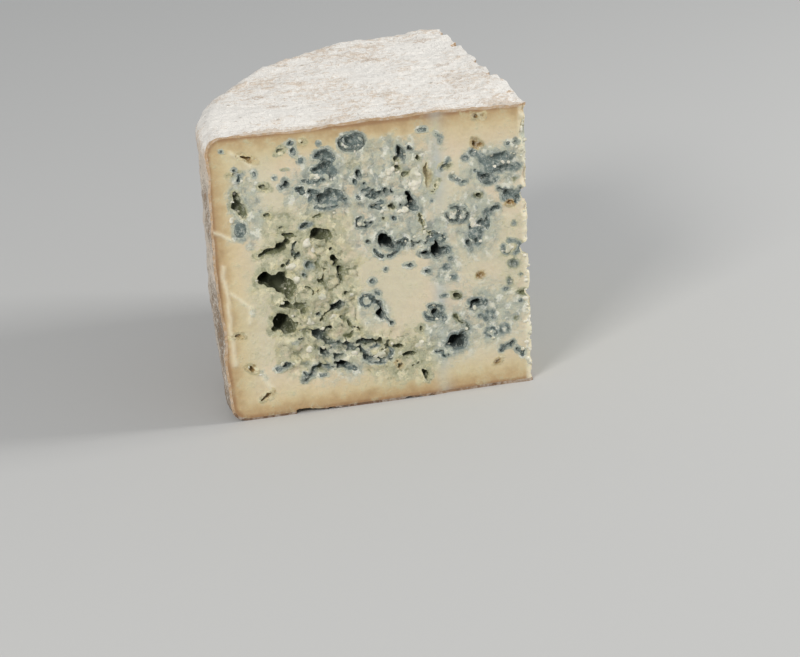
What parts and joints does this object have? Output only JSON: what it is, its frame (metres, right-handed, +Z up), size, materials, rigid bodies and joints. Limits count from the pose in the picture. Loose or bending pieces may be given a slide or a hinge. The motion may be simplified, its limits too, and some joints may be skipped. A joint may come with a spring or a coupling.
{
  "type": "blue cheese wedge",
  "caption": "Quarter wedge of a rinded blue cheese wheel with two knife-cut faces, open blue-green mould pockets and a floury rind, standing on its base.",
  "frame": {"origin": "centre of the footprint's bounding box, on the surface that the wedge stands on", "axes": "+Z up; the front cut face looks along -Y and the other cut face along +X, so the tip edge stands at +X -Y and the rind is on the -X +Y side"},
  "size_m": [0.1004, 0.1004, 0.0908],
  "materials": {
    "paste": "moist matte ivory cheese paste with blue-green mould in its openings",
    "rind": "dry floury off-white natural rind with tan and grey patches"
  },
  "bodies": {
    "root": {"cheese_wedge": "paste"}
  },
  "joints": []
}
